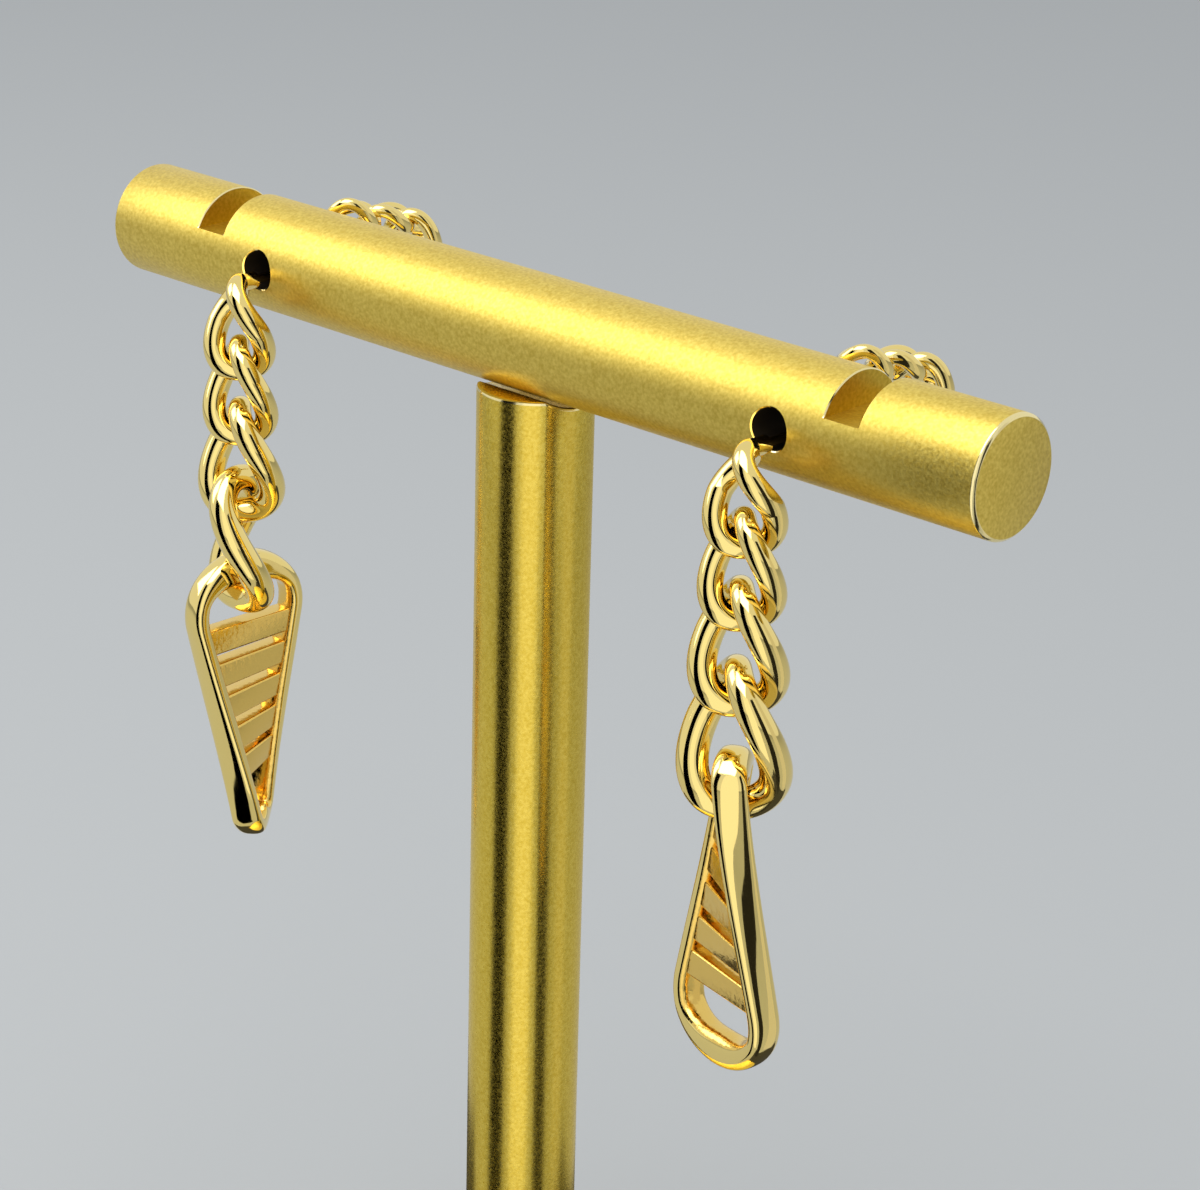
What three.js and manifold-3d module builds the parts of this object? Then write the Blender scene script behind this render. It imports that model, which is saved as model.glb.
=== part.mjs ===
// A pair of dangle earrings on a T-shaped display stand.
// Millimetres, +Z up. The origin is the centre of the base's underside.
// X runs along the bar, and -Y is the side that the chains hang on.
import * as THREE from 'three';
import { mergeVertices } from 'three/addons/utils/BufferGeometryUtils.js';
import Module from 'manifold-3d';

const wasm = await Module();
wasm.setup();

// ---- driving dimensions ----------------------------------------------------
const ROD_RADIUS = 5;            // the bar and the post are the same round stock
const GAP = 0.3;                 // clearance between neighbouring pieces
const LINK_GAP = 0.46;           // between the end bars of two links; their bends come closer
const ROD_SIDES = 48;
const BASE_SIDES = 64;
const UP = new THREE.Vector3(0, 0, 1);

const BASE = { radius: 35, height: 8, edge: 1, socketDepth: 3 };
const BAR = { halfLength: 49, axisHeight: 115, edge: 0.3 };
const POST_TOP_DROP = 4.5;       // the post's flat top below the bar's axis
const HOLE = { radius: 1.75, distance: 29.4 };
const SLOT = { width: 3.3, distance: 36, floorAboveAxis: 2.1 };

const PIN = { radius: 0.4, end: 9.4 };
const COLLAR = { radius: 0.75, end: -5.2 };
const SLEEVE = { radius: 1.45, start: 5.6, length: 4.6 };

// The front chain, from the link on the post down to the link that carries the pendant.
const FRONT_LINKS = [
  { height: 9.74, width: 7.3, wire: 0.86, sideWire: 1.0, lowerWire: 0.95 },
  { height: 10.25, width: 7.7, wire: 0.9, sideWire: 1.04, lowerWire: 1.0 },
  { height: 11.76, width: 8.9, wire: 1.02, sideWire: 1.19, lowerWire: 1.14 },
  { height: 13.98, width: 10.2, wire: 1.15, sideWire: 1.34, lowerWire: 1.26 },
];
const HALF_TWIST = Math.PI / 4;  // a link's two end bars are turned this far, opposite ways
const UPPER_SQUARENESS = 2.0;   // 2 is an ellipse, more is squarer
const LOWER_SQUARENESS = 2.5;
const LINK_STEPS = 34;
const WIRE_SIDES = 8;

// The stiff row behind the bar, soldered link to link. Tilt is a link's slope in degrees.
const BACK_LINKS = [
  { tilt: -20, height: 6.0, width: 4.6, wire: 0.52, sideWire: 0.60, lowerWire: 0.52 },
  { tilt: -13, height: 6.3, width: 4.8, wire: 0.57, sideWire: 0.66, lowerWire: 0.57 },
  { tilt: -38, height: 7.2, width: 5.4, wire: 0.62, sideWire: 0.72, lowerWire: 0.62 },
];
const BACK_START = { back: 4.6, up: 3.9 };  // the first link's near bar, from the bar's axis
const SOLDER_OVERLAP = 0.85;                // wires are this share of their touching distance apart
const STEM_RADIUS = 0.5;                    // joins the row to its sleeve
const BACK_STEPS = 26;
const BACK_SIDES = 7;

// The pendant: a long drop-shaped frame that turns about its own length.
const PENDANT = {
  length: 28.3,
  wideRadius: 5.88,
  narrowRadius: 3.05,
  twist: 55 * Math.PI / 180,
  twistPower: 1.6,               // above 1, most of the turn is near the narrow end
  wideStrand: 3.0,               // metal at the wide end, across the frame
  sideStrand: 1.6,
  neckStrand: 1.3,               // the sides next to the narrow end
  narrowStrand: 3.35,            // metal at the narrow end
  wideDepth: 2.7,                // front to back
  narrowDepth: 2.9,
  squareness: 3,
};
const PENDANT_STEPS = 60;
const PENDANT_SIDES = 10;
const RUNG = { height: 2.3, depth: 1.9, places: [-6.4, -3.2, 0, 3.2, 6.2] };

// What differs between the two earrings. Turns, tilts and twists are in degrees.
const EARRINGS = [
  {
    name: 'left', side: -1, chainFront: -7.1, pinDrop: 0.75, upperTwist: 58,
    lastLink: { turn: -40, aside: -0.2, lean: -0.3, lift: 0.3 },
    pendant: { wideEndUp: true, turn: 78, tilt: -1.7, aside: 0.1 },
  },
  {
    name: 'right', side: 1, chainFront: -7.3, pinDrop: 1.05, upperTwist: 74,
    lastLink: { turn: 0, aside: 0, lean: 0, lift: 0 },
    pendant: { wideEndUp: false, turn: 172, tilt: 1.2, aside: -0.15 },
  },
];

const FINISH = {
  satin: { color: 0xb09a3a, roughness: 0.45, metalness: 1 },
  polished: { color: 0xe0b860, roughness: 0.12, metalness: 1 },
};

// ---- solids ----------------------------------------------------------------
function indexedCopy(geometry) {
  const bare = geometry.clone();
  bare.deleteAttribute('normal');
  bare.deleteAttribute('uv');
  return mergeVertices(bare, 1e-5);
}

function toSolid(geometry) {
  const merged = indexedCopy(geometry);
  return new wasm.Manifold(new wasm.Mesh({
    numProp: 3,
    vertProperties: new Float32Array(merged.attributes.position.array),
    triVerts: new Uint32Array(merged.index.array),
  }));
}

function toGeometry(solid) {
  const mesh = solid.getMesh();
  const geometry = new THREE.BufferGeometry();
  geometry.setAttribute('position', new THREE.BufferAttribute(new Float32Array(mesh.vertProperties), 3));
  geometry.setIndex(new THREE.BufferAttribute(new Uint32Array(mesh.triVerts), 1));
  geometry.computeVertexNormals();
  return geometry;
}

function join(geometries) {
  return toGeometry(geometries.map(toSolid).reduce((whole, solid) => whole.add(solid)));
}

function cut(geometry, cutters) {
  return toGeometry(cutters.map(toSolid).reduce((whole, solid) => whole.subtract(solid), toSolid(geometry)));
}

// A turned solid about Z from [radius, height] pairs, closed on the axis.
function turned(profile, sides = ROD_SIDES) {
  return new THREE.LatheGeometry(profile.map(([r, z]) => new THREE.Vector2(r, z)), sides).rotateX(Math.PI / 2);
}

function cylinderAlongY(radius, start, length, sides) {
  return new THREE.CylinderGeometry(radius, radius, length, sides).translate(0, start + length / 2, 0);
}

// Signed power, for rounded-square curves.
function power(value, exponent) {
  return Math.sign(value) * Math.abs(value) ** exponent;
}

// Bends a torus into any closed ring: place(around, across) gives each vertex its point.
function bentRing(steps, sides, place) {
  const ring = new THREE.TorusGeometry(2, 1, sides, steps);
  const { position, uv } = ring.attributes;
  for (let i = 0; i < position.count; i += 1) {
    const point = place(uv.getX(i) % 1, (uv.getY(i) % 1) * 2 * Math.PI);
    position.setXYZ(i, point.x, point.y, point.z);
  }
  return indexedCopy(ring);
}

// ---- chain links -----------------------------------------------------------
// The middle line of a link's wire: an oval in X and Z, twisted about Z. Its lower half is squarer
// and has a stouter bar than its upper half.
class TwistedOval extends THREE.Curve {
  constructor({ height, width, wire, sideWire, lowerWire }, upperTwist, lowerTwist) {
    super();
    this.halfWidth = width / 2 - sideWire;
    this.upper = { wire, twist: upperTwist, squareness: UPPER_SQUARENESS };
    this.lower = { wire: lowerWire, twist: lowerTwist, squareness: LOWER_SQUARENESS };
    [this.upper, this.lower].forEach((half) => { half.reach = height / 2 - half.wire; });
  }

  getPoint(t, target = new THREE.Vector3()) {
    const angle = 2 * Math.PI * t;
    const { reach, twist, squareness } = Math.cos(angle) > 0 ? this.upper : this.lower;
    const across = this.halfWidth * power(Math.sin(angle), 2 / squareness);
    const up = reach * power(Math.cos(angle), 2 / squareness);
    const turn = -twist * up / reach;
    return target.set(across * Math.cos(turn), across * Math.sin(turn), up);
  }
}

// A link whose wire is stouter at the sides than at its two end bars.
function linkGeometry(link, steps, sides, upperTwist = HALF_TWIST, lowerTwist = upperTwist) {
  const line = new TwistedOval(link, upperTwist, lowerTwist);
  line.arcLengthDivisions = 400;
  return bentRing(steps, sides, (around, across) => {
    const centre = line.getPointAt(around);
    const before = line.getPointAt((around + 0.998) % 1);
    const after = line.getPointAt((around + 0.002) % 1);
    const along = after.sub(before).normalize();
    const outward = centre.clone().addScaledVector(along, -centre.dot(along)).normalize();
    const sideways = outward.clone().cross(along);
    const { reach, wire } = centre.z > 0 ? line.upper : line.lower;
    const radius = THREE.MathUtils.lerp(link.sideWire, wire, (centre.z / reach) ** 2);
    return centre.addScaledVector(outward, radius * Math.cos(across))
      .addScaledVector(sideways, radius * Math.sin(across));
  });
}

// Heights of the upper bars of the front links, each hung in the link above it.
function frontBarHeights(earring) {
  const heights = [BAR.axisHeight - earring.pinDrop];
  FRONT_LINKS.slice(0, -1).forEach((link, i) => {
    const next = FRONT_LINKS[i + 1];
    const lowerBar = heights[i] - (link.height - link.wire - link.lowerWire);
    heights.push(lowerBar + link.lowerWire + next.wire + LINK_GAP);
  });
  return heights;
}

// ---- pendant ---------------------------------------------------------------
// The outline of two circles and their tangents: the point and its outward direction,
// where share runs round from the narrow end.
function dropOutline(share) {
  const { length, wideRadius, narrowRadius } = PENDANT;
  const wideCentre = -length / 2 + wideRadius;
  const narrowCentre = length / 2 - narrowRadius;
  const slope = Math.acos((wideRadius - narrowRadius) / (narrowCentre - wideCentre));
  const narrowTurn = Math.PI - slope;
  const side = Math.sqrt((narrowCentre - wideCentre) ** 2 - (wideRadius - narrowRadius) ** 2);
  const lengths = [narrowRadius * (Math.PI - narrowTurn), side, wideRadius * narrowTurn];
  const half = lengths[0] + lengths[1] + lengths[2];
  const mirrored = share > 0.5;
  let run = (mirrored ? 1 - share : share) * 2 * half;
  let turn = Math.PI - narrowTurn;
  let radius = narrowRadius;
  let centre = narrowCentre;
  if (run < lengths[0]) {
    turn = run / narrowRadius;
  } else if (run < lengths[0] + side) {
    const part = (run - lengths[0]) / side;
    radius += (wideRadius - narrowRadius) * part;
    centre += (wideCentre - narrowCentre) * part;
  } else {
    run -= lengths[0] + side;
    turn += run / wideRadius;
    radius = wideRadius;
    centre = wideCentre;
  }
  const sign = mirrored ? -1 : 1;
  const normal = new THREE.Vector2(sign * Math.sin(turn), Math.cos(turn));
  return { point: new THREE.Vector2(radius * normal.x, centre + radius * normal.y), normal };
}

// Turns a point of the flat pendant about its length.
function twistPendant(point) {
  const { length, twist, twistPower } = PENDANT;
  const share = THREE.MathUtils.clamp(point.z / length + 0.5, 0, 1);
  return point.applyAxisAngle(UP, -twist * share ** twistPower);
}

// Metal across the frame at a place on its outline.
function strandWidth({ point, normal }) {
  const { length, wideStrand, sideStrand, neckStrand, narrowStrand } = PENDANT;
  const share = point.y / length + 0.5;
  const side = THREE.MathUtils.lerp(sideStrand, neckStrand, THREE.MathUtils.clamp((share - 0.55) / 0.35, 0, 1));
  const end = share > 0.5 ? narrowStrand : wideStrand;
  const endward = THREE.MathUtils.clamp((Math.abs(normal.y) - 0.35) / 0.65, 0, 1) ** 1.5;
  return THREE.MathUtils.lerp(side, end, endward);
}

function pendantFrame() {
  const { length, wideDepth, narrowDepth, squareness } = PENDANT;
  return bentRing(PENDANT_STEPS, PENDANT_SIDES, (around, across) => {
    const outline = dropOutline(around);
    const width = strandWidth(outline);
    const depth = THREE.MathUtils.lerp(wideDepth, narrowDepth, outline.point.y / length + 0.5);
    const inset = width / 2 * (power(Math.cos(across), 2 / squareness) - 1);
    const flat = outline.point.addScaledVector(outline.normal, inset);
    const forward = depth / 2 * power(Math.sin(across), 2 / squareness);
    return twistPendant(new THREE.Vector3(flat.x, forward, flat.y));
  });
}

// Half the frame's outer width at a height on its straight sides.
function halfWidthAt(height) {
  const { length, wideRadius, narrowRadius } = PENDANT;
  const span = length - wideRadius - narrowRadius;
  const sine = (wideRadius - narrowRadius) / span;
  const cosine = Math.sqrt(1 - sine * sine);
  const fromWideCentre = height + length / 2 - wideRadius;
  return (wideRadius - fromWideCentre * sine) / cosine;
}

// A plain crossbar between the two sides, ending inside their metal.
function rungGeometry(height) {
  const reach = halfWidthAt(height) - PENDANT.neckStrand * 0.6;
  const bar = new THREE.BoxGeometry(2 * reach, RUNG.depth, RUNG.height, 2, 1, 1).translate(0, 0, height);
  const { position } = bar.attributes;
  for (let i = 0; i < position.count; i += 1) {
    const point = twistPendant(new THREE.Vector3().fromBufferAttribute(position, i));
    position.setXYZ(i, point.x, point.y, point.z);
  }
  return bar;
}

function pendantGeometry() {
  return join([pendantFrame(), ...RUNG.places.map(rungGeometry)]);
}

// ---- stand -----------------------------------------------------------------
function baseGeometry() {
  const { radius, height, edge, socketDepth } = BASE;
  const socket = ROD_RADIUS + GAP;
  return join([turned([
    [0, 0], [radius - edge, 0], [radius, edge], [radius, height - edge], [radius - edge, height],
    [socket, height], [socket, height - socketDepth], [0, height - socketDepth],
  ], BASE_SIDES)]);
}

function postGeometry() {
  const foot = BASE.height - BASE.socketDepth + GAP;
  const top = BAR.axisHeight - POST_TOP_DROP;
  const { edge } = BAR;
  const post = turned([
    [0, foot], [ROD_RADIUS, foot], [ROD_RADIUS, top - edge], [ROD_RADIUS - edge, top], [0, top],
  ]);
  const saddle = new THREE.CylinderGeometry(ROD_RADIUS + GAP, ROD_RADIUS + GAP, 4 * ROD_RADIUS, ROD_SIDES)
    .rotateZ(Math.PI / 2).translate(0, 0, BAR.axisHeight);
  return cut(post, [saddle]);
}

function barGeometry() {
  const { halfLength, axisHeight, edge } = BAR;
  const bar = turned([
    [0, -halfLength], [ROD_RADIUS - edge, -halfLength], [ROD_RADIUS, edge - halfLength],
    [ROD_RADIUS, halfLength - edge], [ROD_RADIUS - edge, halfLength], [0, halfLength],
  ]).rotateY(Math.PI / 2);
  const slotHeight = 2 * ROD_RADIUS;
  const cutters = [-1, 1].flatMap((side) => [
    cylinderAlongY(HOLE.radius, -2 * ROD_RADIUS, 4 * ROD_RADIUS, 32).translate(side * HOLE.distance, 0, 0),
    new THREE.BoxGeometry(SLOT.width, 4 * ROD_RADIUS, slotHeight)
      .translate(side * SLOT.distance, 0, SLOT.floorAboveAxis + slotHeight / 2),
  ]);
  return cut(bar, cutters).translate(0, 0, axisHeight);
}

// ---- ear post and back row -------------------------------------------------
// The top link with the pin and its collar soldered on, in the frame of the top link's upper bar.
function postLinkGeometry({ chainFront, upperTwist }) {
  const link = FRONT_LINKS[0];
  const loop = linkGeometry(link, LINK_STEPS, WIRE_SIDES, upperTwist * Math.PI / 180, HALF_TWIST);
  loop.translate(0, 0, link.wire - link.height / 2);
  const pin = cylinderAlongY(PIN.radius, 0, PIN.end - chainFront, 16);
  const collar = cylinderAlongY(COLLAR.radius, 0, COLLAR.end - chainFront, 24);
  return join([loop, pin, collar]);
}

// Where each link of the back row starts and ends: the middles of its two end bars.
function backRowPlaces() {
  const start = new THREE.Vector3(0, BACK_START.back, BACK_START.up);
  return BACK_LINKS.map((link, i) => {
    const slope = link.tilt * Math.PI / 180;
    const along = new THREE.Vector3(0, Math.cos(slope), Math.sin(slope));
    const near = start.clone();
    const far = near.clone().addScaledVector(along, link.height - 2 * link.wire);
    const next = BACK_LINKS[i + 1] ?? link;
    start.copy(far).addScaledVector(along, -SOLDER_OVERLAP * (link.wire + next.wire));
    return { link, slope, near, far };
  });
}

// The sleeve that slides on the pin, with its row of links; Z is measured from the bar's axis.
function backRowGeometry({ pinDrop }) {
  const places = backRowPlaces();
  const row = places.map(({ link, slope, near, far }) => {
    const centre = near.clone().add(far).divideScalar(2);
    return linkGeometry(link, BACK_STEPS, BACK_SIDES, -HALF_TWIST)
      .rotateX(slope - Math.PI / 2).translate(centre.x, centre.y, centre.z);
  });
  const joint = places[0].far;
  const rise = joint.z + pinDrop;
  const stem = new THREE.CylinderGeometry(STEM_RADIUS, STEM_RADIUS, rise, 12)
    .rotateX(Math.PI / 2).translate(0, joint.y, joint.z - rise / 2);
  const sleeve = cylinderAlongY(SLEEVE.radius, SLEEVE.start, SLEEVE.length, 24).translate(0, 0, -pinDrop);
  const bore = cylinderAlongY(PIN.radius + GAP, SLEEVE.start - 1, SLEEVE.length + 2, 16)
    .translate(0, 0, -pinDrop);
  return cut(join([sleeve, stem, ...row]), [bore]);
}

// ---- assembly --------------------------------------------------------------
function addMesh(parent, name, geometry, finish) {
  const mesh = new THREE.Mesh(geometry, new THREE.MeshStandardMaterial(FINISH[finish]));
  mesh.name = name;
  parent.add(mesh);
  return mesh;
}

// Turns and leans the last link in the link above, and gives its lower bar's place.
function hangLastLink(mesh, link, { turn, aside, lean: sway, lift }, upperBarHeight) {
  const reach = link.height - link.wire - link.lowerWire;
  const top = new THREE.Vector3(aside, sway, upperBarHeight + lift);
  const bottom = new THREE.Vector3(aside, 0, top.z - Math.sqrt(reach ** 2 - sway ** 2));
  const upward = top.clone().sub(bottom).normalize();
  const lean = new THREE.Quaternion().setFromUnitVectors(UP, upward);
  const spin = new THREE.Quaternion().setFromAxisAngle(UP, turn * Math.PI / 180);
  mesh.quaternion.copy(lean).multiply(spin);
  mesh.position.copy(top).addScaledVector(upward, link.wire - link.height / 2);
  return bottom;
}

// Hangs the pendant with its end's metal just above the last link's lower bar, and tilts it.
function hangPendant(mesh, lowerBar, { wideEndUp, turn, tilt, aside }) {
  const end = wideEndUp ? PENDANT.wideStrand : PENDANT.narrowStrand;
  const top = lowerBar.z + FRONT_LINKS.at(-1).lowerWire + GAP + end;
  const [lean, spin] = [tilt * Math.PI / 180, turn * Math.PI / 180];
  const downward = new THREE.Vector3(0, 0, -PENDANT.length / 2)
    .applyEuler(new THREE.Euler(0, lean, spin, 'ZYX'));
  mesh.position.set(lowerBar.x + aside, 0, top).add(downward);
  mesh.rotation.set(wideEndUp ? Math.PI : 0, lean, spin, 'ZYX');
}

function makeEarring(earring) {
  const { name, side, chainFront, lastLink, pendant } = earring;
  const group = new THREE.Group();
  group.position.set(side * HOLE.distance, chainFront, 0);
  const heights = frontBarHeights(earring);
  addMesh(group, `${name}_post_link`, postLinkGeometry(earring), 'polished').position.z = heights[0];
  FRONT_LINKS.slice(1).forEach((link, i) => {
    const geometry = linkGeometry(link, LINK_STEPS, WIRE_SIDES);
    const mesh = addMesh(group, `${name}_chain_link_${i + 2}`, geometry, 'polished');
    mesh.position.z = heights[i + 1] + link.wire - link.height / 2;
  });
  const last = group.children.at(-1);
  const lowerBar = hangLastLink(last, FRONT_LINKS.at(-1), lastLink, heights.at(-1));
  hangPendant(addMesh(group, `${name}_pendant`, pendantGeometry(), 'polished'), lowerBar, pendant);
  const back = addMesh(group, `${name}_back_row`, backRowGeometry(earring), 'polished');
  back.position.set(0, -chainFront, BAR.axisHeight);
  return group;
}

const assembly = new THREE.Group();
addMesh(assembly, 'stand_base', baseGeometry(), 'satin');
addMesh(assembly, 'stand_post', postGeometry(), 'satin');
addMesh(assembly, 'stand_bar', barGeometry(), 'satin');
EARRINGS.forEach((earring) => assembly.add(makeEarring(earring)));

export default assembly;
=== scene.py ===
"""A pair of dangle earrings on a T-shaped display stand: fine surfaces, finishes, light and camera.

Sizes are in millimetres, as the part's own dimensions are, and meshes are made in metres.
X runs along the crossbar, -Y is the side that the chains hang on, and Z is up.
"""
import math

import bmesh
import bpy
import numpy as np
from mathutils import Matrix, Vector


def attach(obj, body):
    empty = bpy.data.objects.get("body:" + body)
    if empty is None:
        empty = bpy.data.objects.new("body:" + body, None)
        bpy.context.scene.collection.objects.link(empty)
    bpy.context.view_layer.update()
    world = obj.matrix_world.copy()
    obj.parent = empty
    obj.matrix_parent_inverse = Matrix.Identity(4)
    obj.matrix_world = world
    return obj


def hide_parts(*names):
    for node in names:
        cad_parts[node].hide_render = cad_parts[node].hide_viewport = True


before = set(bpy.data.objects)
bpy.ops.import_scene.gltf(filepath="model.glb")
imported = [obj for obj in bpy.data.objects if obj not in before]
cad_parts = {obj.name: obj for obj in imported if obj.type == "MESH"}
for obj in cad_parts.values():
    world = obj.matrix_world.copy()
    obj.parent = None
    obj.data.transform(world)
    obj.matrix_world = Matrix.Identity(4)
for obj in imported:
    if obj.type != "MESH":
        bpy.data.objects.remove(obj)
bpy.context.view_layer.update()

MM = 0.001
STAND_BODY = "stand_and_chains"

# ---- dimensions, as the solids have them unless a comment says otherwise ---
ROD_RADIUS = 5.0
GAP = 0.3
LINK_GAP = 0.46
BASE = {
    "radius": 35.0, "height": 8.0, "edge": 1.0, "edge_round": 0.3,
    "socket_depth": 3.0, "socket_edge": 0.2,
}
BAR = {"half_length": 49.0, "axis_height": 115.0, "edge": 0.3}
POST_TOP_DROP = 4.5
HOLE = {"radius": 1.75, "distance": 29.4}
SLOT = {"width": 3.3, "distance": 36.0, "floor": 2.1}
PIN = {"radius": 0.4, "end": 9.4}
COLLAR = {"radius": 0.75, "end": -5.2}
SLEEVE = {"radius": 1.45, "start": 5.6, "length": 4.6, "edge": 0.15}

FRONT_LINKS = [
    {"height": 9.74, "width": 7.3, "wire": 0.86, "side_wire": 1.0, "lower_wire": 0.95},
    {"height": 10.25, "width": 7.7, "wire": 0.9, "side_wire": 1.04, "lower_wire": 1.0},
    {"height": 11.76, "width": 8.9, "wire": 1.02, "side_wire": 1.19, "lower_wire": 1.14},
    {"height": 13.98, "width": 10.2, "wire": 1.15, "side_wire": 1.34, "lower_wire": 1.26},
]
HALF_TWIST = math.pi / 4
UPPER_SQUARENESS, LOWER_SQUARENESS = 2.0, 2.5

BACK_LINKS = [
    {"tilt": -20, "height": 6.0, "width": 4.6, "wire": 0.52, "side_wire": 0.60, "lower_wire": 0.52},
    {"tilt": -13, "height": 6.3, "width": 4.8, "wire": 0.57, "side_wire": 0.66, "lower_wire": 0.57},
    {"tilt": -38, "height": 7.2, "width": 5.4, "wire": 0.62, "side_wire": 0.72, "lower_wire": 0.62},
]
BACK_START = {"back": 4.6, "up": 3.9}
SOLDER_OVERLAP = 0.85
STEM = {"radius": 0.5, "sink": 0.3}          # sink: how far its foot goes into the sleeve

PENDANT = {
    "length": 28.3, "wide_radius": 5.88, "narrow_radius": 3.05,
    "twist": math.radians(55), "twist_power": 1.6,
    "wide_strand": 3.0, "side_strand": 1.6, "neck_strand": 1.3, "narrow_strand": 3.35,
    "wide_depth": 2.7, "narrow_depth": 2.9,
    "squareness": 2.7,      # the solids have 3: a rounder section clears the last link at the hinge's limits
}
# Where the strand's width changes: towards the neck, by share of the pendant's length, and round
# the two ends, by how far the outline faces along the length.
NECK = {"start": 0.55, "span": 0.35}
END = {"start": 0.35, "span": 0.65, "power": 1.5}
# The inward-facing part takes the gold painted darker and more orange as shade and reflection.
INNER_WALL = (0.32, 0.68)                # the shares of the way round a strand between which it faces inward
RUNG = {"height": 2.3, "depth": 1.9, "places": [-6.4, -3.2, 0, 3.2, 6.2], "corner": 0.22, "set_in": 0.6}

EARRINGS = [
    {
        "name": "left", "side": -1, "chain_front": -7.1, "pin_drop": 0.75, "upper_twist": 58,
        "last_link": {"turn": -40, "aside": -0.2, "lean": -0.3, "lift": 0.3},
        "pendant": {"wide_end_up": True, "turn": 78, "tilt": -1.7, "aside": 0.1},
    },
    {
        "name": "right", "side": 1, "chain_front": -7.3, "pin_drop": 1.05, "upper_twist": 74,
        "last_link": {"turn": 0, "aside": 0, "lean": 0, "lift": 0},
        "pendant": {"wide_end_up": False, "turn": 172, "tilt": 1.2, "aside": -0.15},
    },
]

# ---- fineness of the surfaces ----------------------------------------------
LINK_STEPS, WIRE_SIDES = 220, 36
BACK_STEPS, BACK_SIDES = 150, 28
PENDANT_STEPS, PENDANT_SIDES = 420, 56
WIRE_SQUARENESS = 2.1            # 2 is round: a curb link's wire is pressed very slightly square
LINE_POINTS = 6000               # points that a link's middle line is measured with
TANGENT_STEP = 0.004             # share of a link's length each way, for the direction of its wire
RUNG_STEPS, RUNG_CORNER_POINTS = 24, 5
ROD_SIDES = 192
SLEEVE_SIDES, STEM_SIDES = 72, 32
SHARP_ANGLE = math.radians(28)
MERGE_MM = 1e-4
SENSOR_MM = 36


# ---- mesh helpers ----------------------------------------------------------
def power(value, exponent):
    """Signed power, for rounded-square curves."""
    return np.sign(value) * np.abs(value) ** exponent


def unit(vectors):
    return vectors / np.linalg.norm(vectors, axis=-1, keepdims=True)


def lerp(a, b, share):
    return a + (b - a) * share


def grid_faces(rows, columns, close_rows=False):
    """Quads between rings of points; each ring has the same number of columns."""
    faces = []
    for i in range(rows if close_rows else rows - 1):
        for j in range(columns):
            below, right = (i + 1) % rows, (j + 1) % columns
            faces.append((i * columns + j, i * columns + right, below * columns + right, below * columns + j))
    return faces


class Shape:
    """Points in millimetres and the faces between them, with a material number for each face."""

    def __init__(self):
        self.points, self.faces, self.finish = [], [], []

    def add(self, points, faces, finish=0):
        start = len(self.points)
        self.points.extend(np.asarray(points, float).reshape(-1, 3).tolist())
        self.faces.extend(tuple(start + k for k in face) for face in faces)
        self.finish.extend(finish if isinstance(finish, list) else [finish] * len(faces))
        return self

    def piece(self, name, materials, place=None):
        """Makes the mesh object: merged, with its faces outward and its sharp edges marked."""
        mesh = bpy.data.meshes.new(name)
        mesh.from_pydata(self.points, [], self.faces)
        mesh.polygons.foreach_set("material_index", self.finish)
        made = bmesh.new()
        made.from_mesh(mesh)
        bmesh.ops.remove_doubles(made, verts=made.verts, dist=MERGE_MM)
        bmesh.ops.dissolve_degenerate(made, edges=made.edges, dist=MERGE_MM)
        bmesh.ops.recalc_face_normals(made, faces=made.faces)
        for face in made.faces:
            face.smooth = True
        for edge in made.edges:
            edge.smooth = edge.calc_face_angle(0.0) < SHARP_ANGLE
        made.transform(Matrix.Scale(MM, 4) @ (place or Matrix.Identity(4)))
        made.to_mesh(mesh)
        made.free()
        for material in materials:
            mesh.materials.append(material)
        piece = bpy.data.objects.new(name, mesh)
        bpy.context.scene.collection.objects.link(piece)
        return piece


def turned_shape(profile, sides, axis="Z"):
    """A turned shape from [radius, height] pairs. A radius of 0 closes it on the axis."""
    angle = np.arange(sides) * 2 * math.pi / sides
    rows = []
    for radius, height in profile:
        ring = np.c_[radius * np.cos(angle), radius * np.sin(angle), np.full(sides, height)]
        rows.append(ring if axis == "Z" else ring[:, [0, 2, 1]])
    return Shape().add(np.array(rows), grid_faces(len(profile), sides))


def rounded(before, corner, after, radius, steps=5):
    """A profile's corner rounded off between its two neighbours."""
    a, b, c = np.array(before, float), np.array(after, float), np.array(corner, float)
    to_a, to_b = (a - c) / np.linalg.norm(a - c), (b - c) / np.linalg.norm(b - c)
    start, end = c + to_a * radius, c + to_b * radius
    shares = np.linspace(0, 1, steps + 1)
    return [tuple((1 - t) ** 2 * start + 2 * t * (1 - t) * c + t * t * end) for t in shares]


def turned_piece(points, radii, **options):
    """A turned shape whose profile corners are rounded by the radii given for them."""
    profile = []
    for i, (point, radius) in enumerate(zip(points, radii)):
        if radius:
            profile += rounded(points[i - 1], point, points[i + 1], radius)
        else:
            profile.append(point)
    return turned_shape(profile, **options)


# ---- chain links -----------------------------------------------------------
def bar_reach(link, upper):
    """The distance from a link's middle to the middle of its upper or lower bar."""
    return link["height"] / 2 - np.where(upper, link["wire"], link["lower_wire"])


def link_line(link, upper_twist, lower_twist):
    """The middle line of a link's wire: an oval in X and Z, twisted about Z."""
    angle = np.linspace(0, 2 * math.pi, LINE_POINTS + 1)
    upper = np.cos(angle) > 0
    exponent = 2 / np.where(upper, UPPER_SQUARENESS, LOWER_SQUARENESS)
    across = (link["width"] / 2 - link["side_wire"]) * power(np.sin(angle), exponent)
    level = power(np.cos(angle), exponent)
    turn = -np.where(upper, upper_twist, lower_twist) * level
    return np.c_[across * np.cos(turn), across * np.sin(turn), bar_reach(link, upper) * level]


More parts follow.
